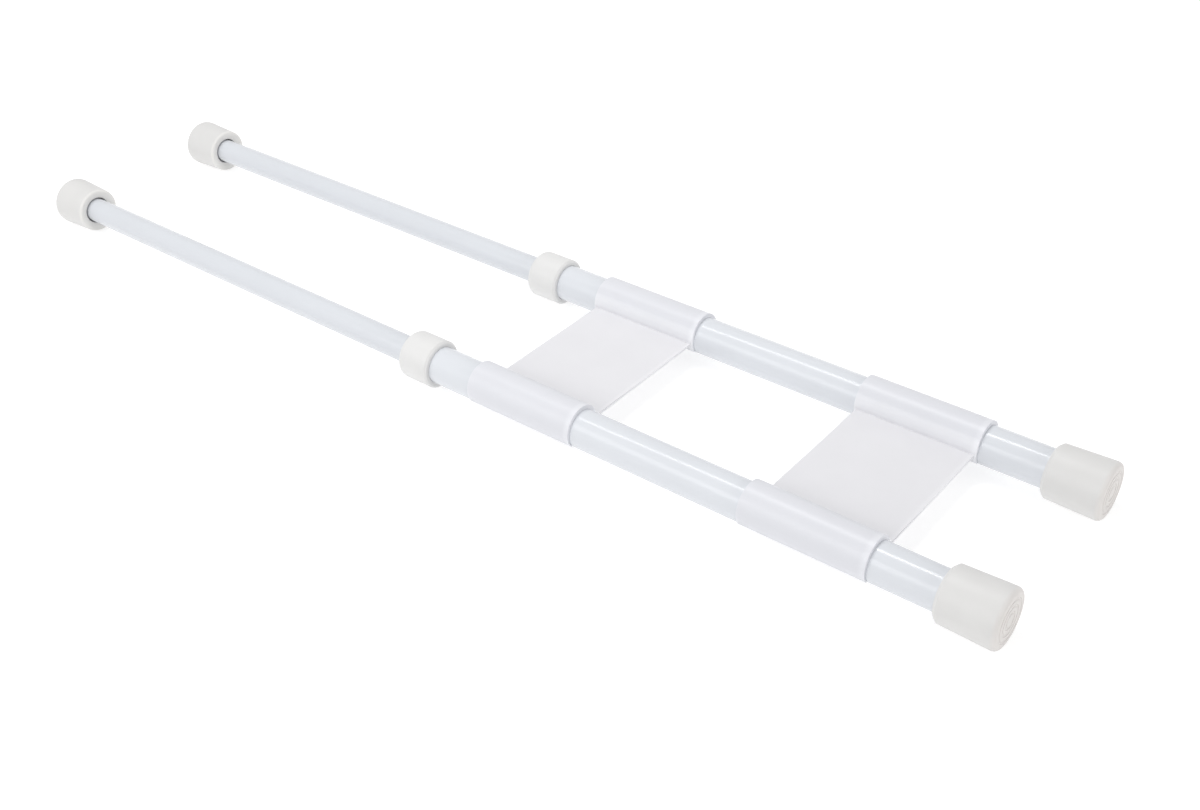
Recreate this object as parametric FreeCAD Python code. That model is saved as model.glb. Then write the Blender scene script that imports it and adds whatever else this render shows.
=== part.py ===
import FreeCAD, Part
import math
import os

# Twin spring tension rod, lying on its caps at full length, in millimetres.
# X runs along the rods towards the large caps, Y from the front rod to the rear rod, Z is up.
# The origin is on the ground, in the middle of the length and between the rods.

V = FreeCAD.Vector

# Overall sizes
TOTAL_LENGTH = 706.0
ROD_SPACING = 114.0
OUTER_ASSEMBLY_LENGTH = 373.8

# Tubes
OUTER_DIAMETER = 22.0
OUTER_WALL = 0.8
INNER_DIAMETER = 16.0
INNER_WALL = 0.7
TUBE_OVERLAP = 28.0

# Fits, as radial gaps
RUNNING_GAP = 0.05
COLLAR_GAP = 0.10

# Large cap on the outer tube
OUTER_CAP_LENGTH = 32.0
OUTER_CAP_FACE_WALL = 5.0
OUTER_CAP_MOUTH_WALL = 4.2
OUTER_CAP_FLOOR = 4.0
OUTER_CAP_CHAMFER = 1.9
OUTER_CAP_ROUNDING = 2.6
OUTER_CAP_LAND = 4.0

# Small cap on the inner tube
INNER_CAP_LENGTH = 29.2
INNER_CAP_FACE_WALL = 7.5
INNER_CAP_MOUTH_WALL = 6.5
INNER_CAP_FLOOR = 5.0
INNER_CAP_ROUNDING = 3.2
INNER_CAP_LAND = 5.0
MOUTH_RECESS_GAP = 1.1
MOUTH_RECESS_DEPTH = 9.0
MOUTH_DISH = 1.4
MOUTH_LIP = 1.4

# Rings moulded into the contact faces: share of the outermost radius, groove width and depth.
# On the small cap the outermost ring lies this far outside the tube's radius.
RING_REACH = 2.0
RING_SHARES = (0.38, 0.69, 1.0)
RING_WIDTH = 1.2
RING_DEPTH = 0.35

# Collar over the outer tube's mouth
COLLAR_LENGTH = 22.3
COLLAR_WALL = 3.25
COLLAR_END_WALL = 2.5
COLLAR_SHOULDER = 3.2
COLLAR_CHAMFER = 1.2
COLLAR_MOUTH_GAP = 0.35
COLLAR_MOUTH_DEPTH = 3.0

# Connectors clipped on both outer tubes
CONNECTOR_LENGTH = 72.5
CONNECTOR_GAP_AT_COLLAR = 31.0
CONNECTOR_GAP_AT_CAP = 35.9
CLIP_WALL = 1.4
CLIP_RISE = 1.05
CLIP_LIP_ANGLE = 35.0
WEB_THICKNESS = 1.6
WEB_SETBACK = 1.2
WEB_EDGE_ROUNDING = 0.6

# Spring and its seats
SPRING_LENGTH = 400.0
SPRING_TURNS = 28
SPRING_RADIUS = 5.8
WIRE_DIAMETER = 1.0
END_TURN_PITCH = 1.25
STEPS_PER_TURN = 8
WIRE_SIDES = 6
SEAT_SLACK = 0.05
SPIGOT_RADIUS = 4.9
SPIGOT_LENGTH = 8.0
END_PLUG_LENGTH = 18.0
SPRING_SEAT_LENGTH = 8.0
STOP_PLUG_LENGTH = 10.0
PLUG_CORE_WALL = 3.0

# Guide bush on the inner tube's hidden end
BUSH_LAND = 7.0
BUSH_RELIEF = 0.65
BUSH_FLANGE = 2.0
BUSH_STOP_GAP = 0.3

# Radii and stations worked out from the sizes above
outer_r = OUTER_DIAMETER / 2
outer_bore_r = outer_r - OUTER_WALL
inner_r = INNER_DIAMETER / 2
inner_bore_r = inner_r - INNER_WALL
axis_height = outer_r + OUTER_CAP_FACE_WALL
x_right = TOTAL_LENGTH / 2
x_left = -TOTAL_LENGTH / 2
x_collar = x_right - OUTER_ASSEMBLY_LENGTH
x_outer_tube = x_collar + COLLAR_END_WALL
x_outer_end = x_right - OUTER_CAP_FLOOR
x_outer_mouth = x_right - OUTER_CAP_LENGTH
x_inner_mouth = x_left + INNER_CAP_LENGTH
x_inner_start = x_left + INNER_CAP_FLOOR
x_inner_end = x_outer_tube + TUBE_OVERLAP
x_end_plug = x_outer_end - END_PLUG_LENGTH
x_seat_face = x_end_plug - SPRING_LENGTH


def rounded_corner(before, here, after, radius):
    # start, middle and end of the arc that rounds one corner of an outline
    a = (before - here).normalize()
    b = (after - here).normalize()
    half = a.getAngle(b) / 2
    trim = radius / math.tan(half)
    middle = here + (a + b).normalize() * (radius / math.sin(half) - radius)
    return here + a * trim, middle, here + b * trim


def outline(points):
    # closed wire in the XZ plane through (x, z) or (x, z, rounding radius) corners
    corners = [V(p[0], 0, p[1]) for p in points]
    stations = []
    for i, p in enumerate(points):
        if len(p) == 3:
            before = corners[i - 1]
            after = corners[(i + 1) % len(points)]
            stations.append(rounded_corner(before, corners[i], after, p[2]))
        else:
            stations.append((corners[i],))
    edges = []
    for i, station in enumerate(stations):
        if len(station) == 3:
            edges.append(Part.Arc(*station).toShape())
        following = stations[(i + 1) % len(stations)][0]
        edges.append(Part.LineSegment(station[-1], following).toShape())
    return Part.Wire(edges)


def turned(points):
    # solid of revolution about the X axis from an outline of (x, radius) corners
    face = Part.Face(outline(points))
    return face.revolve(V(0, 0, 0), V(1, 0, 0), 360)


def tube(start, end, outside, inside):
    return turned([(start, inside), (start, outside), (end, outside), (end, inside)])


def ring_grooves(x_face, direction, tube_radius):
    # corners of the moulded rings, from the outermost one to the axis
    corners = []
    floor = x_face - direction * RING_DEPTH
    for share in reversed(RING_SHARES):
        outside = share * tube_radius + RING_WIDTH / 2
        inside = outside - RING_WIDTH
        corners += [(x_face, outside), (floor, outside), (floor, inside), (x_face, inside)]
    return corners


def outer_tube():
    return tube(x_outer_tube, x_outer_end, outer_r, outer_bore_r)


def inner_tube():
    return tube(x_inner_start, x_inner_end, inner_r, inner_bore_r)


def outer_cap():
    face_r = outer_r + OUTER_CAP_FACE_WALL
    mouth_r = outer_r + OUTER_CAP_MOUTH_WALL
    lead = 0.3
    points = [
        (x_outer_mouth, outer_r + lead),
        (x_outer_mouth, mouth_r - OUTER_CAP_CHAMFER, 0.4),
        (x_outer_mouth + OUTER_CAP_CHAMFER, mouth_r, 0.8),
        (x_right - OUTER_CAP_LAND, face_r),
        (x_right, face_r, OUTER_CAP_ROUNDING),
    ]
    points += ring_grooves(x_right, 1, outer_r)
    points += [
        (x_right, 0),
        (x_outer_end, 0),
        (x_outer_end, outer_r),
        (x_outer_mouth + lead, outer_r),
    ]
    return turned(points)


def inner_cap():
    face_r = inner_r + INNER_CAP_FACE_WALL
    mouth_r = inner_r + INNER_CAP_MOUTH_WALL
    recess_r = inner_r + MOUTH_RECESS_GAP
    x_step = x_inner_mouth - MOUTH_RECESS_DEPTH
    points = [
        (x_inner_mouth - MOUTH_DISH, recess_r),
        (x_inner_mouth, mouth_r, MOUTH_LIP),
        (x_left + INNER_CAP_LAND, face_r),
        (x_left, face_r, INNER_CAP_ROUNDING),
    ]
    points += ring_grooves(x_left, -1, inner_r + RING_REACH)
    points += [
        (x_left, 0),
        (x_inner_start, 0),
        (x_inner_start, inner_r),
        (x_step - MOUTH_RECESS_GAP, inner_r),
        (x_step, recess_r),
    ]
    return turned(points)


def collar():
    outside = outer_r + COLLAR_WALL
    hole = inner_r + COLLAR_GAP
    mouth = outer_r + COLLAR_MOUTH_GAP
    x_end = x_collar + COLLAR_LENGTH
    x_step = x_end - COLLAR_MOUTH_DEPTH
    return turned([
        (x_collar, hole),
        (x_collar, outside, COLLAR_SHOULDER),
        (x_end - COLLAR_CHAMFER, outside, 0.6),
        (x_end, outside - COLLAR_CHAMFER, 0.5),
        (x_end, mouth),
        (x_step, mouth),
        (x_step - COLLAR_MOUTH_GAP, outer_r),
        (x_outer_tube, outer_r),
        (x_outer_tube, hole),
    ])


def guide_bush():
    land_r = outer_bore_r - RUNNING_GAP
    relief_r = land_r - BUSH_RELIEF
    start = x_outer_tube + BUSH_STOP_GAP
    end = x_inner_end + BUSH_FLANGE
    return turned([
        (start, inner_r),
        (start, land_r),
        (start + BUSH_LAND, land_r),
        (start + BUSH_LAND + BUSH_RELIEF, relief_r),
        (end - BUSH_LAND - BUSH_RELIEF, relief_r),
        (end - BUSH_LAND, land_r),
        (end, land_r),
        (end, inner_bore_r),
        (x_inner_end, inner_bore_r),
        (x_inner_end, inner_r),
    ])


def end_plug():
    core_r = outer_bore_r - PLUG_CORE_WALL
    x_core = x_end_plug + PLUG_CORE_WALL
    return turned([
        (x_end_plug - SPIGOT_LENGTH, 0),
        (x_end_plug - SPIGOT_LENGTH, SPIGOT_RADIUS, 0.8),
        (x_end_plug, SPIGOT_RADIUS),
        (x_end_plug, outer_bore_r),
        (x_outer_end, outer_bore_r),
        (x_outer_end, core_r),
        (x_core, core_r),
        (x_core, 0),
    ])


def spring_seat():
    return turned([
        (x_seat_face - SPRING_SEAT_LENGTH, 0),
        (x_seat_face - SPRING_SEAT_LENGTH, inner_bore_r - RUNNING_GAP),
        (x_seat_face, inner_bore_r - RUNNING_GAP),
        (x_seat_face, SPIGOT_RADIUS),
        (x_seat_face + SPIGOT_LENGTH, SPIGOT_RADIUS, 0.8),
        (x_seat_face + SPIGOT_LENGTH, 0),
    ])


def stop_plug():
    end = x_seat_face - SPRING_SEAT_LENGTH - SEAT_SLACK
    start = end - STOP_PLUG_LENGTH
    core_r = inner_bore_r - PLUG_CORE_WALL
    x_core = end - PLUG_CORE_WALL
    return turned([
        (start, core_r),
        (start, inner_bore_r),
        (end, inner_bore_r),
        (end, 0),
        (x_core, 0),
        (x_core, core_r),
    ])


def spring_line():
    # points along the wire's centre: one closed turn at each end, even pitch between
    wire_r = WIRE_DIAMETER / 2
    start = x_seat_face + wire_r + SEAT_SLACK * 2
    length = SPRING_LENGTH - 2 * (wire_r + SEAT_SLACK * 2)
    pitch = (length - 2 * END_TURN_PITCH) / (SPRING_TURNS - 2)
    points = []
    for step in range(SPRING_TURNS * STEPS_PER_TURN + 1):
        turn = step / STEPS_PER_TURN
        closed = min(turn, 1) + max(turn - SPRING_TURNS + 1, 0)
        x = start + closed * END_TURN_PITCH + (turn - closed) * pitch
        angle = 2 * math.pi * turn
        points.append(V(x, SPRING_RADIUS * math.cos(angle), SPRING_RADIUS * math.sin(angle)))
    return points


def next_ring(ring, along, point, normal):
    # carries the wire's section along one straight piece to the mitre plane at its end
    return [p + along * ((point - p).dot(normal) / along.dot(normal)) for p in ring]


def spring():
    # wire of even section, mitred at each point of its line, so every face is flat
    line = spring_line()
    runs = [(b - a).normalize() for a, b in zip(line, line[1:])]
    side = (line[0] - V(line[0].x, 0, 0)).normalize()
    across = runs[0].cross(side).normalize()
    side = across.cross(runs[0])
    wire_r = WIRE_DIAMETER / 2
    angles = [2 * math.pi * i / WIRE_SIDES for i in range(WIRE_SIDES)]
    ring = [line[0] + side * (wire_r * math.cos(a)) + across * (wire_r * math.sin(a)) for a in angles]
    faces = [Part.Face(Part.makePolygon(ring + ring[:1]))]
    for i, along in enumerate(runs):
        following = runs[min(i + 1, len(runs) - 1)]
        further = next_ring(ring, along, line[i + 1], along + following)
        for k in range(WIRE_SIDES):
            m = (k + 1) % WIRE_SIDES
            corners = [ring[k], ring[m], further[m], further[k], ring[k]]
            faces.append(Part.Face(Part.makePolygon(corners)))
        ring = further
    faces.append(Part.Face(Part.makePolygon(ring + ring[:1])))
    shell = Part.Shell(faces)
    return Part.makeSolid(shell)


def cylinder_along_x(start, length, radius, y, z):
    return Part.makeCylinder(radius, length, V(start, y, z), V(1, 0, 0))


def clip_opening(start, length, y, reach):
    # wedge below the tube, between the two lips
    spread = math.radians(CLIP_LIP_ANGLE)
    drop = reach * math.tan(spread)
    corners = [
        V(start, y, axis_height),
        V(start, y - reach, axis_height - drop),
        V(start, y - reach, axis_height - 2 * reach),
        V(start, y + reach, axis_height - 2 * reach),
        V(start, y + reach, axis_height - drop),
        V(start, y, axis_height),
    ]
    return Part.Face(Part.makePolygon(corners)).extrude(V(length, 0, 0))


def clip_lips(start, length, y, bore_r, outside_r):
    # round beads that end the sleeve on each side of the opening
    angle = math.radians(CLIP_LIP_ANGLE)
    rise = CLIP_RISE * math.sin(-angle)
    reach = rise + math.sqrt(outside_r ** 2 - (CLIP_RISE * math.cos(angle)) ** 2)
    bead_r = (reach - bore_r) / 2
    centre = bore_r + bead_r
    z = axis_height - centre * math.sin(angle)
    offset = centre * math.cos(angle)
    return [cylinder_along_x(start, length, bead_r, y + s * offset, z) for s in (-1, 1)]


def connector(start):
    # two sleeves open at the bottom, joined by a flat web level with the tube axes
    bore_r = outer_r + RUNNING_GAP
    outside_r = bore_r + CLIP_WALL
    half = ROD_SPACING / 2
    web_length = CONNECTOR_LENGTH - 2 * WEB_SETBACK
    web_start = start + WEB_SETBACK
    web_end = web_start + web_length
    web_bottom = axis_height - WEB_THICKNESS
    web_outline = outline([
        (web_start, web_bottom, WEB_EDGE_ROUNDING),
        (web_start, axis_height, WEB_EDGE_ROUNDING),
        (web_end, axis_height, WEB_EDGE_ROUNDING),
        (web_end, web_bottom, WEB_EDGE_ROUNDING),
    ])
    web = Part.Face(web_outline).extrude(V(0, 2 * half, 0))
    web.translate(V(0, -half, 0))
    sleeves = []
    bores = []
    for y in (-half, half):
        outside = cylinder_along_x(start, CONNECTOR_LENGTH, outside_r, y, axis_height + CLIP_RISE)
        sleeves.append(outside.cut(clip_opening(start, CONNECTOR_LENGTH, y, 2 * outside_r)))
        sleeves += clip_lips(start, CONNECTOR_LENGTH, y, bore_r, outside_r)
        bores.append(cylinder_along_x(start, CONNECTOR_LENGTH, bore_r, y, axis_height))
    body = web.fuse(sleeves)
    for bore in bores:
        body = body.cut(bore)
    return body.removeSplitter().Solids[0]


def export(name, shape):
    shape.exportStep("parts/" + name + ".step")
    print(name, shape.ShapeType, shape.isValid(), round(shape.Volume, 1))


ROD_PIECES = {
    "outer_tube": outer_tube,
    "outer_cap": outer_cap,
    "collar": collar,
    "end_plug": end_plug,
    "spring": spring,
    "spring_seat": spring_seat,
    "stop_plug": stop_plug,
    "inner_tube": inner_tube,
    "guide_bush": guide_bush,
    "inner_cap": inner_cap,
}

os.makedirs("parts", exist_ok=True)
for piece, build in ROD_PIECES.items():
    shape = build()
    for side, y in (("front", -ROD_SPACING / 2), ("rear", ROD_SPACING / 2)):
        placed = shape.copy()
        placed.translate(V(0, y, axis_height))
        export(side + "_" + piece, placed)

x_left_connector = x_collar + COLLAR_LENGTH + CONNECTOR_GAP_AT_COLLAR
x_right_connector = x_outer_mouth - CONNECTOR_GAP_AT_CAP - CONNECTOR_LENGTH
export("left_connector", connector(x_left_connector))
export("right_connector", connector(x_right_connector))
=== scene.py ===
import math

import bmesh
import bpy
from mathutils import Matrix, Vector


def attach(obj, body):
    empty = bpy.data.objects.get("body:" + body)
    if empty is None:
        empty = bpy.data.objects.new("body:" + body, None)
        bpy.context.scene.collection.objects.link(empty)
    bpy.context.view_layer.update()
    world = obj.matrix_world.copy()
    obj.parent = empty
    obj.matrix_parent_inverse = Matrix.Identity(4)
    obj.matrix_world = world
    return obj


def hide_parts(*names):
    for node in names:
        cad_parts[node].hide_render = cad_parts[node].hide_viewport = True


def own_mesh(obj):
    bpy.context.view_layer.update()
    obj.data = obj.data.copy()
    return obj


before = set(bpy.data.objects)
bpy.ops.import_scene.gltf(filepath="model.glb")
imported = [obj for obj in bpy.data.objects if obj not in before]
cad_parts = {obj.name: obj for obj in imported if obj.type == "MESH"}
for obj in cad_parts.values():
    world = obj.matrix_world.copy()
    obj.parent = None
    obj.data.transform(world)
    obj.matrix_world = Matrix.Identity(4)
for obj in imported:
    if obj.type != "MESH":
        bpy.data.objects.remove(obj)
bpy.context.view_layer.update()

# Twin spring tension rod. The rod's sizes are in millimetres, as on a maker's drawing, and each
# mesh is turned into metres as it is built. The rods lie along X, the front one towards the
# camera. The table, the lamps and the camera are placed in metres.

# Outer tubes: thin steel tube, rolled and welded, coated in a glossy blue-white enamel.
# The mouth end sits in the collar and the far end in the large rubber cap.
MM = 0.001
ROD_Y = {"front": -57.0, "rear": 57.0}
AXIS_Z = 16.0
OUTER_TUBE = {"start": -18.3, "end": 349.0, "radius": 11.0, "bore": 10.2}
TUBE_EDGE = 0.2
SEGMENTS = 128
CORNER_STEPS = 8
SHARP_ANGLE = math.radians(40)
NOISE_MIDDLE = (0.3, 0.7)


def rounded(corners):
    """A closed outline through (u, v) or (u, v, radius) corners, each radius a run of points."""
    line = []
    for i, corner in enumerate(corners):
        here = Vector(corner[:2])
        if len(corner) == 2:
            line.append(here)
            continue
        radius = corner[2]
        before = (Vector(corners[i - 1][:2]) - here).normalized()
        after = (Vector(corners[(i + 1) % len(corners)][:2]) - here).normalized()
        half = before.angle(after) / 2
        start = here + before * (radius / math.tan(half))
        end = here + after * (radius / math.tan(half))
        centre = here + (before + after).normalized() * (radius / math.sin(half))
        for step in range(CORNER_STEPS + 1):
            spoke = (start - centre).lerp(end - centre, step / CORNER_STEPS).normalized()
            line.append(centre + spoke * radius)
    return line


def placed(name, data):
    """A new object in the scene, from a mesh, a lamp or a camera."""
    thing = bpy.data.objects.new(name, data)
    bpy.context.collection.objects.link(thing)
    return thing


def smooth_piece(name, bm, move=(0, 0, 0)):
    """A mesh built in millimetres, moved to its place and made into a piece in metres."""
    bm.transform(Matrix.Scale(MM, 4) @ Matrix.Translation(move))
    mesh = bpy.data.meshes.new(name)
    bm.to_mesh(mesh)
    bm.free()
    mesh.shade_smooth()
    mesh.set_sharp_from_angle(angle=SHARP_ANGLE)
    return placed(name, mesh)


def turned(name, side, corners):
    """A piece turned about one rod's axis from an outline of (x, radius) corners."""
    bm = bmesh.new()
    turns = [2 * math.pi * k / SEGMENTS for k in range(SEGMENTS)]
    rings = []
    for x, radius in rounded(corners):
        if radius == 0:
            rings.append([bm.verts.new((x, 0, 0))] * SEGMENTS)
            continue
        circle = [(x, radius * math.cos(turn), radius * math.sin(turn)) for turn in turns]
        rings.append([bm.verts.new(point) for point in circle])
    for ring, following in zip(rings, rings[1:] + rings[:1]):
        for k in range(SEGMENTS):
            after = (k + 1) % SEGMENTS
            loop = list(dict.fromkeys((ring[k], ring[after], following[after], following[k])))
            if len(loop) > 2:
                bm.faces.new(loop)
    bmesh.ops.recalc_face_normals(bm, faces=bm.faces)
    return smooth_piece(name, bm, (0, ROD_Y[side], AXIS_Z))


def fit(piece, body, node, material):
    """Puts a finished piece in the place of its solid, on the body that carries it."""
    piece.data.materials.append(material)
    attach(piece, body)
    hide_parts(node)


def new_material(name):
    """A new material, with its nodes, its links and its Principled BSDF."""
    material = bpy.data.materials.new(name)
    material.use_nodes = True
    nodes = material.node_tree.nodes
    return material, nodes, material.node_tree.links, nodes["Principled BSDF"]


def group_with(name, inputs, outputs):
    """A shader node group with named sockets: (name, kind, start value) in, (name, kind) out."""
    group = bpy.data.node_groups.new(name, "ShaderNodeTree")
    for label, kind, value in inputs:
        socket = group.interface.new_socket(name=label, in_out="INPUT", socket_type=kind)
        socket.default_value = value
    for label, kind in outputs:
        group.interface.new_socket(name=label, in_out="OUTPUT", socket_type=kind)
    nodes = group.nodes
    return group, nodes, group.links, nodes.new("NodeGroupInput"), nodes.new("NodeGroupOutput")


def feed(links, value, socket):
    """Gives a socket a plain number, or another node's output."""
    if isinstance(value, bpy.types.NodeSocket):
        links.new(value, socket)
    else:
        socket.default_value = value


def noise_at(nodes, links, place, scale, detail=2.0):
    """Noise over object space, its scale in features a metre."""
    noise = nodes.new("ShaderNodeTexNoise")
    noise.inputs["Detail"].default_value = detail
    links.new(place.outputs["Object"], noise.inputs["Vector"])
    feed(links, scale, noise.inputs["Scale"])
    return noise.outputs["Fac"]


def level(nodes, links, value, low, high):
    """Spreads the middle range, where most of a noise lies, over low to high."""
    spread = nodes.new("ShaderNodeMapRange")
    spread.inputs["From Min"].default_value = NOISE_MIDDLE[0]
    spread.inputs["From Max"].default_value = NOISE_MIDDLE[1]
    links.new(value, spread.inputs["Value"])
    feed(links, low, spread.inputs["To Min"])
    feed(links, high, spread.inputs["To Max"])
    return spread.outputs["Result"]


def mottled_surface():
    """Colour, roughness and height of a surface whose tone and gloss vary a little over it."""
    group, nodes, links, given, result = group_with(
        "mottled_surface",
        [
            ("Tone", "NodeSocketColor", (1, 1, 1, 1)),
            ("Mottle", "NodeSocketFloat", 0.03),
            ("Patch scale", "NodeSocketFloat", 40.0),
            ("Smoothest", "NodeSocketFloat", 0.2),
            ("Roughest", "NodeSocketFloat", 0.3),
            ("Grain scale", "NodeSocketFloat", 900.0),
        ],
        [
            ("Color", "NodeSocketColor"),
            ("Roughness", "NodeSocketFloat"),
            ("Height", "NodeSocketFloat"),
        ],
    )
    place = nodes.new("ShaderNodeTexCoord")
    patches = noise_at(nodes, links, place, given.outputs["Patch scale"], detail=3.0)
    grain = noise_at(nodes, links, place, given.outputs["Grain scale"])
    depth = nodes.new("ShaderNodeMath")
    depth.operation = "MULTIPLY"
    links.new(level(nodes, links, patches, 0.0, 1.0), depth.inputs[0])
    links.new(given.outputs["Mottle"], depth.inputs[1])
    mix = nodes.new("ShaderNodeMix")
    mix.data_type = "RGBA"
    links.new(depth.outputs[0], mix.inputs["Factor"])
    links.new(given.outputs["Tone"], mix.inputs["A"])
    mix.inputs["B"].default_value = (0, 0, 0, 1)
    rough = level(nodes, links, grain, given.outputs["Smoothest"], given.outputs["Roughest"])
    links.new(mix.outputs["Result"], result.inputs["Color"])
    links.new(rough, result.inputs["Roughness"])
    links.new(grain, result.inputs["Height"])
    return group


MOTTLED = mottled_surface()


def mottled_finish(name, values, bump, tone=None):
    """A mottled material; bump is (strength, depth), and tone may link a colour of its own in."""
    material, nodes, links, shader = new_material(name)
    surface = nodes.new("ShaderNodeGroup")
    surface.node_tree = MOTTLED
    for label, value in values.items():
        surface.inputs[label].default_value = value
    if tone:
        links.new(tone(nodes, links), surface.inputs["Tone"])
    relief = nodes.new("ShaderNodeBump")
    relief.inputs["Strength"].default_value = bump[0]
    relief.inputs["Distance"].default_value = bump[1] * MM
    links.new(surface.outputs["Color"], shader.inputs["Base Color"])
    links.new(surface.outputs["Roughness"], shader.inputs["Roughness"])
    links.new(surface.outputs["Height"], relief.inputs["Height"])
    links.new(relief.outputs["Normal"], shader.inputs["Normal"])
    return material


def enamel(name, tone):
    """Stove enamel: glossy, almost flat, and very even in tone."""
    return mottled_finish(
        name,
        {
            "Tone": tone,
            "Mottle": 0.02,
            "Patch scale": 30.0,
            "Smoothest": 0.17,
            "Roughest": 0.21,
            "Grain scale": 420.0,
        },
        bump=(0.015, 0.012),
    )


def tube_corners(size):
    """The outline of a tube's wall, with both mouths lightly rounded."""
    return [
        (size["start"], size["bore"], TUBE_EDGE),
        (size["start"], size["radius"], TUBE_EDGE),
        (size["end"], size["radius"], TUBE_EDGE),
        (size["end"], size["bore"], TUBE_EDGE),
    ]


ENAMEL = enamel("enamelled_outer_tube", (0.717, 0.739, 0.777, 1))
for side in ROD_Y:
    tube = turned(side + "_outer_tube_steel", side, tube_corners(OUTER_TUBE))
    fit(tube, "outer_rods", side + "_outer_tube", ENAMEL)

# End plugs, spring seats, stop plugs and guide bushes: small moulded nylon pieces that sit
# inside the tubes. Their solids already have the real form, so they only get a finish.
NYLON = mottled_finish(
    "natural_nylon",
    {
        "Tone": (0.78, 0.775, 0.75, 1),
        "Mottle": 0.06,
        "Patch scale": 120.0,
        "Smoothest": 0.38,
        "Roughest": 0.52,
        "Grain scale": 2500.0,
    },
    bump=(0.3, 0.02),
)
for side in ROD_Y:
    for hidden in ("end_plug", "spring_seat", "stop_plug", "guide_bush"):
        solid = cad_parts[side + "_" + hidden]
        for material_slot in solid.material_slots:
            material_slot.material = NYLON

# Large caps: moulded rubber, flared to the flat face that grips the wall, chamfered at the
# mouth, and stretched over the outer tube so that no gap shows round it.
LARGE_CAP = {
    "face": 353.0,
    "length": 32.0,
    "face_radius": 16.0,
    "mouth_radius": 15.2,
    "chamfer": 1.9,
    "lead_in": 0.3,
    "land": 4.0,
    "floor": 4.0,
}
LARGE_CAP_ROUNDING = {"mouth": 0.4, "chamfer": 0.8, "land": 3.0, "face": 2.6}
RING_SHARES = (0.38, 0.69, 1.0)
RING_WIDTH = 1.2
RING_DEPTH = 0.25
RING_ROUNDING = 0.2
# painted highlight: the small caps' rolled lips are painted paler and warmer, as if catching light
RUBBER_MOUTH_HIGHLIGHT = (0.862, 0.848, 0.818, 1)
RUBBER_SIDE = (0.719, 0.713, 0.704, 1)
# painted highlight: the large caps' rounded rims are painted paler, as if catching light, and the
# paleness runs into the ring grooves' floors against their shade
RUBBER_RIM_HIGHLIGHT = (0.865, 0.842, 0.822, 1)
RUBBER_FACE = (0.755, 0.723, 0.702, 1)
# along X: the small caps' sides and mouths with a painted highlight, the large caps' sides, rims
# with a painted highlight, and faces
RUBBER_TONES_AND_HIGHLIGHTS = [
    (-326.0, RUBBER_SIDE),
    (-325.0, RUBBER_MOUTH_HIGHLIGHT),
    (-323.0, RUBBER_MOUTH_HIGHLIGHT),
    (0.0, RUBBER_SIDE),
    (350.4, RUBBER_SIDE),
    (351.6, RUBBER_RIM_HIGHLIGHT),
    (352.6, RUBBER_RIM_HIGHLIGHT),
    (352.95, RUBBER_FACE),
]


def tone_along(nodes, links, axis, stops, mirrored=False):
    """A colour that changes along X or Y through (place, tone) stops, or from the middle out."""
    place = nodes.new("ShaderNodeTexCoord")
    parts = nodes.new("ShaderNodeSeparateXYZ")
    links.new(place.outputs["Object"], parts.inputs[0])
    distance = parts.outputs[axis]
    if mirrored:
        outward = nodes.new("ShaderNodeMath")
        outward.operation = "ABSOLUTE"
        links.new(distance, outward.inputs[0])
        distance = outward.outputs[0]
    first, last = stops[0][0], stops[-1][0]
    share = nodes.new("ShaderNodeMapRange")
    share.inputs["From Min"].default_value = first * MM
    share.inputs["From Max"].default_value = last * MM
    links.new(distance, share.inputs["Value"])
    ramp = nodes.new("ShaderNodeValToRGB")
    points = ramp.color_ramp.elements
    points[0].color = stops[0][1]
    points[1].color = stops[-1][1]
    for here, tone in stops[1:-1]:
        point = points.new((here - first) / (last - first))
        point.color = tone
    links.new(share.outputs["Result"], ramp.inputs["Fac"])
    return ramp.outputs["Color"]


def rubber_tone_and_highlights(nodes, links):
    """Plain on the caps' sides, with painted highlights at the small caps' mouths and the large
    caps' rims.
    """
    return tone_along(nodes, links, "X", RUBBER_TONES_AND_HIGHLIGHTS)


RUBBER = mottled_finish(
    "off_white_rubber",
    {
        "Mottle": 0.03,
        "Patch scale": 70.0,
        "Smoothest": 0.40,
        "Roughest": 0.52,
        "Grain scale": 3200.0,
    },
    bump=(0.35, 0.02),
    tone=rubber_tone_and_highlights,
)


def moulded_rings(face, inward, reach):
    """Corners of the round grooves in a contact face, from the outermost one in."""
    corners = []
    floor = face + inward * RING_DEPTH
    for share in reversed(RING_SHARES):
        outside = share * reach + RING_WIDTH / 2
        inside = outside - RING_WIDTH
        groove = ((face, outside), (floor, outside), (floor, inside), (face, inside))
        corners += [(x, radius, RING_ROUNDING) for x, radius in groove]
    return corners


for side in ROD_Y:
    size = LARGE_CAP
    rounding = LARGE_CAP_ROUNDING
    face = size["face"]
    mouth = face - size["length"]
    floor = face - size["floor"]
    tube_radius = OUTER_TUBE["radius"]
    corners = [
        (mouth, tube_radius + size["lead_in"]),
        (mouth, size["mouth_radius"] - size["chamfer"], rounding["mouth"]),
        (mouth + size["chamfer"], size["mouth_radius"], rounding["chamfer"]),
        (face - size["land"], size["face_radius"], rounding["land"]),
        (face, size["face_radius"], rounding["face"]),
    ]
    corners += moulded_rings(face, -1, tube_radius)
    corners += [
        (face, 0),
        (floor, 0),
        (floor, tube_radius),
        (mouth + size["lead_in"], tube_radius),
    ]
    cap = turned(side + "_large_cap_rubber", side, corners)
    fit(cap, "outer_rods", side + "_outer_cap", RUBBER)

# Springs: one long compression spring of round drawn wire in each rod, with a closed turn at
# each end. It runs from the end plug to the moving seat and shortens as the rod is pushed in.
SPRING = {
    "start": -68.35,
    "end": 330.4,
    "radius": 5.8,
    "wire": 1.0,
    "turns": 28,
    "closed_pitch": 1.25,
}
WIRE_STEPS = 40
WIRE_SIDES = 10
WIRE_DULL = (0.52, 0.52, 0.54, 1)
WIRE_BRIGHT = (0.66, 0.66, 0.67, 1)
WIRE_ROUGHNESS = (0.28, 0.42)
WIRE_GRAIN = 1800.0


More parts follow.
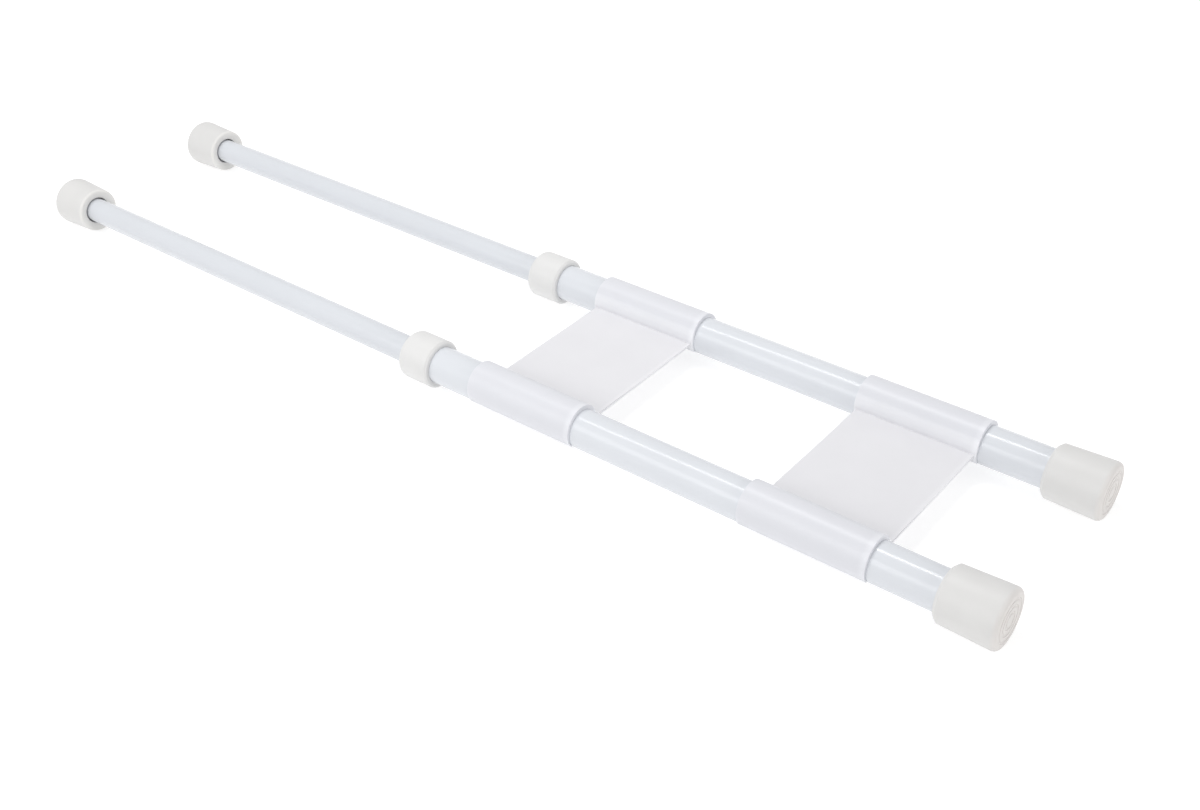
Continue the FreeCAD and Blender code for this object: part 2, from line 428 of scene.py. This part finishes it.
def wire_finish():
    """Drawn steel: grey metal, finely streaked and slightly uneven in gloss."""
    material, nodes, links, shader = new_material("drawn_spring_wire")
    place = nodes.new("ShaderNodeTexCoord")
    fine = noise_at(nodes, links, place, WIRE_GRAIN, detail=4.0)
    tone = nodes.new("ShaderNodeMix")
    tone.data_type = "RGBA"
    tone.inputs["A"].default_value = WIRE_DULL
    tone.inputs["B"].default_value = WIRE_BRIGHT
    links.new(level(nodes, links, fine, 0.0, 1.0), tone.inputs["Factor"])
    links.new(tone.outputs["Result"], shader.inputs["Base Color"])
    links.new(level(nodes, links, fine, *WIRE_ROUGHNESS), shader.inputs["Roughness"])
    shader.inputs["Metallic"].default_value = 1.0
    return material


WIRE = wire_finish()


def wound_spring(name, side):
    """Round wire wound about the rod's axis, with its first and last turn closed."""
    size = SPRING
    radius = size["radius"]
    last_turn = size["turns"] - 1
    open_length = size["end"] - size["start"] - 2 * size["closed_pitch"]
    pitch = open_length / (size["turns"] - 2)
    bm = bmesh.new()
    rings = []
    for step in range(size["turns"] * WIRE_STEPS + 1):
        turn = step / WIRE_STEPS
        closed = min(turn, 1) + max(turn - last_turn, 0)
        x = size["start"] + closed * size["closed_pitch"] + (turn - closed) * pitch
        angle = 2 * math.pi * turn
        outward = Vector((0, math.cos(angle), math.sin(angle)))
        onward = Vector((0, -math.sin(angle), math.cos(angle)))
        rise = pitch if 1 < turn < last_turn else size["closed_pitch"]
        along = Vector((rise, 0, 0)) + onward * (2 * math.pi * radius)
        across = along.normalized().cross(outward)
        centre = Vector((x, 0, 0)) + outward * radius
        ring = []
        for k in range(WIRE_SIDES):
            around = 2 * math.pi * k / WIRE_SIDES
            spoke = outward * math.cos(around) + across * math.sin(around)
            ring.append(bm.verts.new(centre + spoke * (size["wire"] / 2)))
        rings.append(ring)
    for ring, following in zip(rings, rings[1:]):
        for k in range(WIRE_SIDES):
            after = (k + 1) % WIRE_SIDES
            bm.faces.new((ring[k], ring[after], following[after], following[k]))
    bm.faces.new(rings[0])
    bm.faces.new(rings[-1])
    bmesh.ops.recalc_face_normals(bm, faces=bm.faces)
    return smooth_piece(name, bm, (0, ROD_Y[side], AXIS_Z))


for side in ROD_Y:
    coil = wound_spring(side + "_spring_wire", side)
    fit(coil, side + "_carriage", side + "_spring", WIRE)
    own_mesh(coil)

# Inner tubes: thinner steel tube in a slightly greyer enamel, which slides and turns in the
# outer one. One end carries the guide bush, the other is pressed into the small cap.
INNER_TUBE = {"start": -348.0, "end": 9.7, "radius": 8.0, "bore": 7.3}
INNER_ENAMEL = enamel("enamelled_inner_tube", (0.680, 0.702, 0.739, 1))
for side in ROD_Y:
    tube = turned(side + "_inner_tube_steel", side, tube_corners(INNER_TUBE))
    fit(tube, side + "_inner_rod", side + "_inner_tube", INNER_ENAMEL)

# Small caps: the same rubber on the thin tube, widest at the closed end, with a rolled lip and
# a mouth that stands clear of the tube, so a dark ring shows round it.
SMALL_CAP = {
    "face": -353.0,
    "length": 29.2,
    "face_radius": 15.5,
    "mouth_radius": 14.5,
    "dish": 1.4,
    "recess_gap": 0.8,
    "recess_depth": 9.0,
    "land": 5.0,
    "floor": 5.0,
    "ring_reach": 2.0,
}
SMALL_CAP_ROUNDING = {"recess": 0.5, "lip": 1.4, "land": 4.0, "face": 3.2}
for side in ROD_Y:
    size = SMALL_CAP
    rounding = SMALL_CAP_ROUNDING
    face = size["face"]
    mouth = face + size["length"]
    floor = face + size["floor"]
    step = mouth - size["recess_depth"]
    tube_radius = INNER_TUBE["radius"]
    recess_radius = tube_radius + size["recess_gap"]
    corners = [
        (mouth - size["dish"], recess_radius, rounding["recess"]),
        (mouth, size["mouth_radius"], rounding["lip"]),
        (face + size["land"], size["face_radius"], rounding["land"]),
        (face, size["face_radius"], rounding["face"]),
    ]
    corners += moulded_rings(face, 1, tube_radius + size["ring_reach"])
    corners += [
        (face, 0),
        (floor, 0),
        (floor, tube_radius),
        (step - size["recess_gap"], tube_radius),
        (step, recess_radius),
    ]
    cap = turned(side + "_small_cap_rubber", side, corners)
    fit(cap, side + "_inner_rod", side + "_inner_cap", RUBBER)

# Collars: satin plastic rings pushed over the outer tube's mouth. The shoulder on the thin
# tube's side is well rounded, the other rim is chamfered and stands a hair off the tube.
COLLAR = {
    "start": -20.8,
    "length": 22.3,
    "radius": 14.25,
    "hole": 8.1,
    "chamfer": 1.2,
    "mouth_radius": 11.1,
    "mouth_depth": 3.0,
    "mouth_step": 0.35,
}
COLLAR_ROUNDING = {"hole": 0.3, "shoulder": 3.2, "chamfer": 0.6, "rim": 0.5, "mouth": 0.05}
COLLAR_PLASTIC = mottled_finish(
    "satin_collar_plastic",
    {
        "Tone": (0.752, 0.749, 0.744, 1),
        "Mottle": 0.02,
        "Patch scale": 90.0,
        "Smoothest": 0.34,
        "Roughest": 0.46,
        "Grain scale": 3000.0,
    },
    bump=(0.25, 0.012),
)
for side in ROD_Y:
    size = COLLAR
    rounding = COLLAR_ROUNDING
    end = size["start"] + size["length"]
    step = end - size["mouth_depth"]
    tube_radius = OUTER_TUBE["radius"]
    corners = [
        (size["start"], size["hole"], rounding["hole"]),
        (size["start"], size["radius"], rounding["shoulder"]),
        (end - size["chamfer"], size["radius"], rounding["chamfer"]),
        (end, size["radius"] - size["chamfer"], rounding["rim"]),
        (end, size["mouth_radius"], rounding["mouth"]),
        (step, size["mouth_radius"]),
        (step - size["mouth_step"], tube_radius),
        (OUTER_TUBE["start"], tube_radius),
        (OUTER_TUBE["start"], size["hole"]),
    ]
    collar = turned(side + "_collar_ring", side, corners)
    fit(collar, "outer_rods", side + "_collar", COLLAR_PLASTIC)

# Connectors: one moulding each of milky plastic, two sleeves open below that snap over the
# outer tubes, joined by a flat web level with the tubes' axes and set back from the sleeve ends.
CONNECTOR = {"length": 72.5, "left": 32.5, "right": 212.6}
SLEEVE = {"bore": 11.05, "outside": 12.45, "rise": 1.05, "lip_angle": 35.0, "edge": 0.22}
WEB = {"thickness": 1.6, "setback": 1.2, "edge": 0.6}
SLEEVE_STEPS = 72
LIP_STEPS = 8
JOINT_STEPS = 4
EDGE_STEPS = 4
SAME_POINT = 0.001
CONNECTOR_WEB = (0.772, 0.769, 0.795, 1)
# painted shade: the web's border in the corner with the sleeve is painted darker
CONNECTOR_PAINTED_CORNER_SHADE = (0.758, 0.755, 0.780, 1)
# painted light: the sleeve's low side beside the web is painted paler, as if lit
CONNECTOR_PAINTED_JOINT_LIGHT = (0.832, 0.837, 0.868, 1)
CONNECTOR_SLEEVE = (0.723, 0.730, 0.770, 1)
# from the middle out: the web, painted shade at its border, painted light on the sleeve's low
# side, the sleeve
SLEEVE_SIDE = ROD_Y["rear"] - SLEEVE["outside"]
CONNECTOR_TONES_AND_PAINTED_LIGHT = [
    (SLEEVE_SIDE - 2.15, CONNECTOR_WEB),
    (SLEEVE_SIDE - 0.95, CONNECTOR_PAINTED_CORNER_SHADE),
    (SLEEVE_SIDE - 0.05, CONNECTOR_PAINTED_CORNER_SHADE),
    (SLEEVE_SIDE + 0.07, CONNECTOR_PAINTED_JOINT_LIGHT),
    (SLEEVE_SIDE + 0.85, CONNECTOR_PAINTED_JOINT_LIGHT),
    (SLEEVE_SIDE + 2.95, CONNECTOR_SLEEVE),
]
# along X: the painted highlight added to those tones at each connector's right-hand end
END_PAINTED_HIGHLIGHT = (0.055, 0.055, 0.055, 1)
NO_PAINTED_HIGHLIGHT = (0, 0, 0, 1)
CONNECTOR_PAINTED_HIGHLIGHTS = []
for place in ("left", "right"):
    end = CONNECTOR[place] + CONNECTOR["length"]
    CONNECTOR_PAINTED_HIGHLIGHTS += [
        (end - 4.0, NO_PAINTED_HIGHLIGHT),
        (end - 1.6, END_PAINTED_HIGHLIGHT),
        (end + 1.0, END_PAINTED_HIGHLIGHT),
        (end + 5.0, NO_PAINTED_HIGHLIGHT),
    ]


def connector_tone_and_painted_light(nodes, links):
    """The web's and the sleeves' tones, painted shade and light at their joint, and a painted
    highlight along the edges that catch light from the right.
    """
    mix = nodes.new("ShaderNodeMix")
    mix.data_type = "RGBA"
    mix.blend_type = "ADD"
    mix.inputs["Factor"].default_value = 1.0
    links.new(tone_along(nodes, links, "Y", CONNECTOR_TONES_AND_PAINTED_LIGHT, mirrored=True), mix.inputs["A"])
    links.new(tone_along(nodes, links, "X", CONNECTOR_PAINTED_HIGHLIGHTS), mix.inputs["B"])
    return mix.outputs["Result"]


CONNECTOR_PLASTIC = mottled_finish(
    "milky_connector_plastic",
    {
        "Mottle": 0.02,
        "Patch scale": 45.0,
        "Smoothest": 0.30,
        "Roughest": 0.42,
        "Grain scale": 2600.0,
    },
    bump=(0.22, 0.012),
    tone=connector_tone_and_painted_light,
)


def arc(centre, radius, start, end, steps):
    """Points on an arc in the section's plane, angles in degrees from the outward side up."""
    y, z = centre
    turns = [math.radians(start + (end - start) * k / steps) for k in range(steps + 1)]
    return [Vector((y + radius * math.cos(t), z + radius * math.sin(t))) for t in turns]


def joined(*runs):
    """One closed outline, with the points that two runs share kept once."""
    line = []
    for run in runs:
        for point in run:
            if not line or (point - line[-1]).length > SAME_POINT:
                line.append(point)
    if (line[0] - line[-1]).length < SAME_POINT:
        line.pop()
    return line


def sleeve_section():
    """The rear sleeve's outline in (y, z), which ends with the run that the web joins."""
    lip_angle = SLEEVE["lip_angle"]
    lip = math.radians(lip_angle)
    rise = SLEEVE["rise"]
    radius = SLEEVE["outside"]
    axis = (ROD_Y["rear"], AXIS_Z)
    raised = (ROD_Y["rear"], AXIS_Z + rise)
    # the outside is centred a little above the tube's axis, so the wall thins towards the lips;
    # reach is how far the outside lies from that axis at the lips
    reach = math.sqrt(radius ** 2 - (rise * math.cos(lip)) ** 2) - rise * math.sin(lip)
    bead = (reach - SLEEVE["bore"]) / 2
    middle = SLEEVE["bore"] + bead
    bead_z = AXIS_Z - middle * math.sin(lip)
    outer_bead = (axis[0] + middle * math.cos(lip), bead_z)
    inner_bead = (axis[0] - middle * math.cos(lip), bead_z)
    joint_top = 180 + math.degrees(math.asin(rise / radius))
    joint_low = 180 + math.degrees(math.asin((rise + WEB["thickness"]) / radius))
    lip_end = math.degrees(math.atan2(-rise - math.sin(lip) * reach, math.cos(lip) * reach))
    return joined(
        arc(raised, radius, joint_top, lip_end, SLEEVE_STEPS),
        arc(outer_bead, bead, -lip_angle, -180 - lip_angle, LIP_STEPS),
        arc(axis, SLEEVE["bore"], -lip_angle, 180 + lip_angle, SLEEVE_STEPS),
        arc(inner_bead, bead, lip_angle, -180 + lip_angle, LIP_STEPS),
        arc(raised, radius, 180 - lip_end, joint_low, LIP_STEPS),
        arc(raised, radius, joint_low, joint_top, JOINT_STEPS),
    )


def on_bore(vert):
    """Whether a point of a connector lies against its tube."""
    from_axis = math.hypot(abs(vert.co.y) - ROD_Y["rear"], vert.co.z - AXIS_Z)
    return from_axis < SLEEVE["bore"] + SAME_POINT


def moulded_connector(name, start):
    """Both sleeves and the web between them, drawn along X through four stations."""
    section = sleeve_section()
    count = len(section)
    joint = [k % count for k in range(count - JOINT_STEPS, count + 1)]
    end = start + CONNECTOR["length"]
    bm = bmesh.new()
    weight = bm.edges.layers.float.new("bevel_weight_edge")
    stations = []
    for x in (start, start + WEB["setback"], end - WEB["setback"], end):
        front = [bm.verts.new((x, -point.x, point.y)) for point in section]
        rear = [bm.verts.new((x, point.x, point.y)) for point in section]
        stations.append((front, rear))
    # the sleeves' sides, left open between the middle stations where the web joins them
    for i in range(3):
        for near, far in zip(stations[i], stations[i + 1]):
            for k in range(count):
                if i == 1 and k >= joint[0]:
                    continue
                after = (k + 1) % count
                bm.faces.new((near[k], near[after], far[after], far[k]))
    for sleeve_end in stations[0] + stations[3]:
        bm.faces.new(sleeve_end)
    web_ends = []
    for front, rear in stations[1:3]:
        loop = [front[k] for k in joint] + [rear[k] for k in reversed(joint)]
        web_ends.append(bm.faces.new(loop))
    (front, rear), (far_front, far_rear) = stations[1:3]
    for k in (joint[0], joint[-1]):
        bm.faces.new((front[k], far_front[k], far_rear[k], rear[k]))
    bmesh.ops.recalc_face_normals(bm, faces=bm.faces)
    # sharp outer edges are rounded, fully at the web's ends and lightly elsewhere; the bore's stay
    for edge in bm.edges:
        if len(edge.link_faces) != 2 or edge.calc_face_angle(0) < SHARP_ANGLE:
            continue
        if not edge.is_convex or all(on_bore(vert) for vert in edge.verts):
            continue
        across = abs(edge.verts[0].co.y - edge.verts[1].co.y) > ROD_Y["rear"]
        on_web_end = across and any(face in web_ends for face in edge.link_faces)
        edge[weight] = 1.0 if on_web_end else SLEEVE["edge"] / WEB["edge"]
    piece = smooth_piece(name, bm)
    bevel = piece.modifiers.new("edge_rounding", "BEVEL")
    bevel.limit_method = "WEIGHT"
    bevel.width = WEB["edge"] * MM
    bevel.segments = EDGE_STEPS
    return piece


for place in ("left", "right"):
    connector = moulded_connector(place + "_connector_moulding", CONNECTOR[place])
    fit(connector, place + "_connector", place + "_connector", CONNECTOR_PLASTIC)

# Table: a milky sheet lit from below, which fills the rods' undersides with light and keeps a
# faint soft shadow beside them. It looks whiter with distance, so it ends in the tent's white.
TABLE_REACH = 6.0
TABLE_TONE = 0.60
TABLE_GLOW = 0.42
TABLE_GLOW_SEEN = 0.595
TABLE_GLOW_FAR = 0.80
TABLE_NEAR = 0.6
TABLE_FAR = 2.2


def background_seen(nodes, links):
    """1 for rays from the camera, a reflection or a clear material, so all see the same white."""
    path = nodes.new("ShaderNodeLightPath")
    seen = path.outputs["Is Camera Ray"]
    for kind in ("Is Glossy Ray", "Is Transmission Ray"):
        either = nodes.new("ShaderNodeMath")
        either.operation = "MAXIMUM"
        links.new(seen, either.inputs[0])
        links.new(path.outputs[kind], either.inputs[1])
        seen = either.outputs[0]
    return seen


def table_finish():
    """A matt white sheet whose own glow is stronger where it is seen than where it lights."""
    material, nodes, links, shader = new_material("white_table")
    nodes.remove(shader)
    diffuse = nodes.new("ShaderNodeBsdfDiffuse")
    diffuse.inputs["Color"].default_value = (TABLE_TONE, TABLE_TONE, TABLE_TONE, 1)
    place = nodes.new("ShaderNodeTexCoord")
    distance = nodes.new("ShaderNodeVectorMath")
    distance.operation = "LENGTH"
    links.new(place.outputs["Object"], distance.inputs[0])
    seen_glow = nodes.new("ShaderNodeMapRange")
    seen_glow.interpolation_type = "SMOOTHSTEP"
    seen_glow.inputs["From Min"].default_value = TABLE_NEAR
    seen_glow.inputs["From Max"].default_value = TABLE_FAR
    seen_glow.inputs["To Min"].default_value = TABLE_GLOW_SEEN
    seen_glow.inputs["To Max"].default_value = TABLE_GLOW_FAR
    links.new(distance.outputs["Value"], seen_glow.inputs["Value"])
    strength = nodes.new("ShaderNodeMapRange")
    strength.inputs["To Min"].default_value = TABLE_GLOW
    links.new(seen_glow.outputs["Result"], strength.inputs["To Max"])
    links.new(background_seen(nodes, links), strength.inputs["Value"])
    glow = nodes.new("ShaderNodeEmission")
    glow.inputs["Color"].default_value = (1, 1, 1, 1)
    links.new(strength.outputs["Result"], glow.inputs["Strength"])
    both = nodes.new("ShaderNodeAddShader")
    links.new(diffuse.outputs[0], both.inputs[0])
    links.new(glow.outputs[0], both.inputs[1])
    links.new(both.outputs[0], nodes["Material Output"].inputs["Surface"])
    return material


sheet = bpy.data.meshes.new("table")
quarters = ((-1, -1), (1, -1), (1, 1), (-1, 1))
corners = [(x * TABLE_REACH, y * TABLE_REACH, 0) for x, y in quarters]
sheet.from_pydata(corners, [], [(0, 1, 2, 3)])
sheet.materials.append(table_finish())
table = placed("table", sheet)

# Light: an even white tent, two narrow strips overhead for the sharp lines along the tubes, and
# a soft box on each side for the wide, softer bands. Three weak lamps that no surface mirrors
# even out the front, the back and the middle.
TENT_LIGHT = 0.505
STRIP_TURN = math.radians(38.2)
MIDDLE = (0.0, 0.0, 0.0)
world = bpy.data.worlds.new("white_tent")
bpy.context.scene.world = world
world.use_nodes = True
tent = world.node_tree
sky = tent.nodes["Background"]
strength = tent.nodes.new("ShaderNodeMapRange")
strength.inputs["To Min"].default_value = TENT_LIGHT
strength.inputs["To Max"].default_value = 1.0
tent.links.new(background_seen(tent.nodes, tent.links), strength.inputs["Value"])
tent.links.new(strength.outputs["Result"], sky.inputs["Strength"])
sky.inputs["Color"].default_value = (1, 1, 1, 1)


def facing(place, right, up, forward):
    """The matrix of a lamp or a camera, from its place and the three ways it faces."""
    return Matrix.Translation(place) @ Matrix((right, up, -forward)).transposed().to_4x4()


def soft_light(name, place, target, size, watts, turn=0.0, mirrored=True):
    """A flat lamp of (width, height) that faces the target, its width turned away from X."""
    lamp = bpy.data.lights.new(name, "AREA")
    lamp.shape = "RECTANGLE"
    lamp.size, lamp.size_y = size
    lamp.energy = watts
    aim = (Vector(target) - Vector(place)).normalized()
    level_side = Vector((math.cos(turn), math.sin(turn), 0))
    side = (level_side - aim * level_side.dot(aim)).normalized()
    lamp_object = placed(name, lamp)
    lamp_object.matrix_world = facing(place, side, side.cross(aim), aim)
    lamp_object.visible_glossy = mirrored


soft_light("overhead_strip", (-0.637, 0.060, 1.5), MIDDLE, (0.655, 0.08), 2.25, STRIP_TURN)
soft_light("right_strip", (-0.17, 0.13, 1.49), MIDDLE, (0.5, 0.08), 3.0, STRIP_TURN)
soft_light("left_soft_box", (-0.6, -1.5, 1.0), MIDDLE, (1.2, 0.7), 4.5, math.radians(-20))
soft_light("right_soft_box", (2.2, 0.1, 0.7), MIDDLE, (0.9, 0.9), 8.5, math.radians(90))
soft_light("front_fill", (0.0, -1.4, 0.7), MIDDLE, (1.2, 0.6), 4.8, mirrored=False)
soft_light("back_fill", (-0.5, 1.6, 1.2), (-0.15, 0.0, 0.0), (1.2, 0.6), 2.2, mirrored=False)
soft_light("pool_light", (-0.05, 0.02, 0.9), (-0.05, 0.02, 0.0), (0.4, 0.4), 1.3, mirrored=False)

# Camera: where the photograph was taken from, on the right of the rods and above them, with
# the view running down and to the left and the camera itself tipped by two degrees.
LENS = 44.01
SENSOR = 36.0
CAMERA_PLACE = (0.5183, -0.5412, 0.4820)
CAMERA_YAW = math.radians(39.58)
CAMERA_PITCH = math.radians(35.33)
CAMERA_ROLL = math.radians(-1.98)
ahead = Vector((-math.sin(CAMERA_YAW), math.cos(CAMERA_YAW), 0))
forward = ahead * math.cos(CAMERA_PITCH) - Vector((0, 0, math.sin(CAMERA_PITCH)))
level_right = Vector((math.cos(CAMERA_YAW), math.sin(CAMERA_YAW), 0))
level_up = level_right.cross(forward)
right = level_right * math.cos(CAMERA_ROLL) + level_up * math.sin(CAMERA_ROLL)
camera_data = bpy.data.cameras.new("camera")
camera_data.lens = LENS
camera_data.sensor_width = SENSOR
camera_data.clip_start = 0.01
camera = placed("camera", camera_data)
camera.matrix_world = facing(CAMERA_PLACE, right, right.cross(forward), forward)
bpy.context.scene.camera = camera

bpy.context.scene.view_settings.view_transform = "Standard"
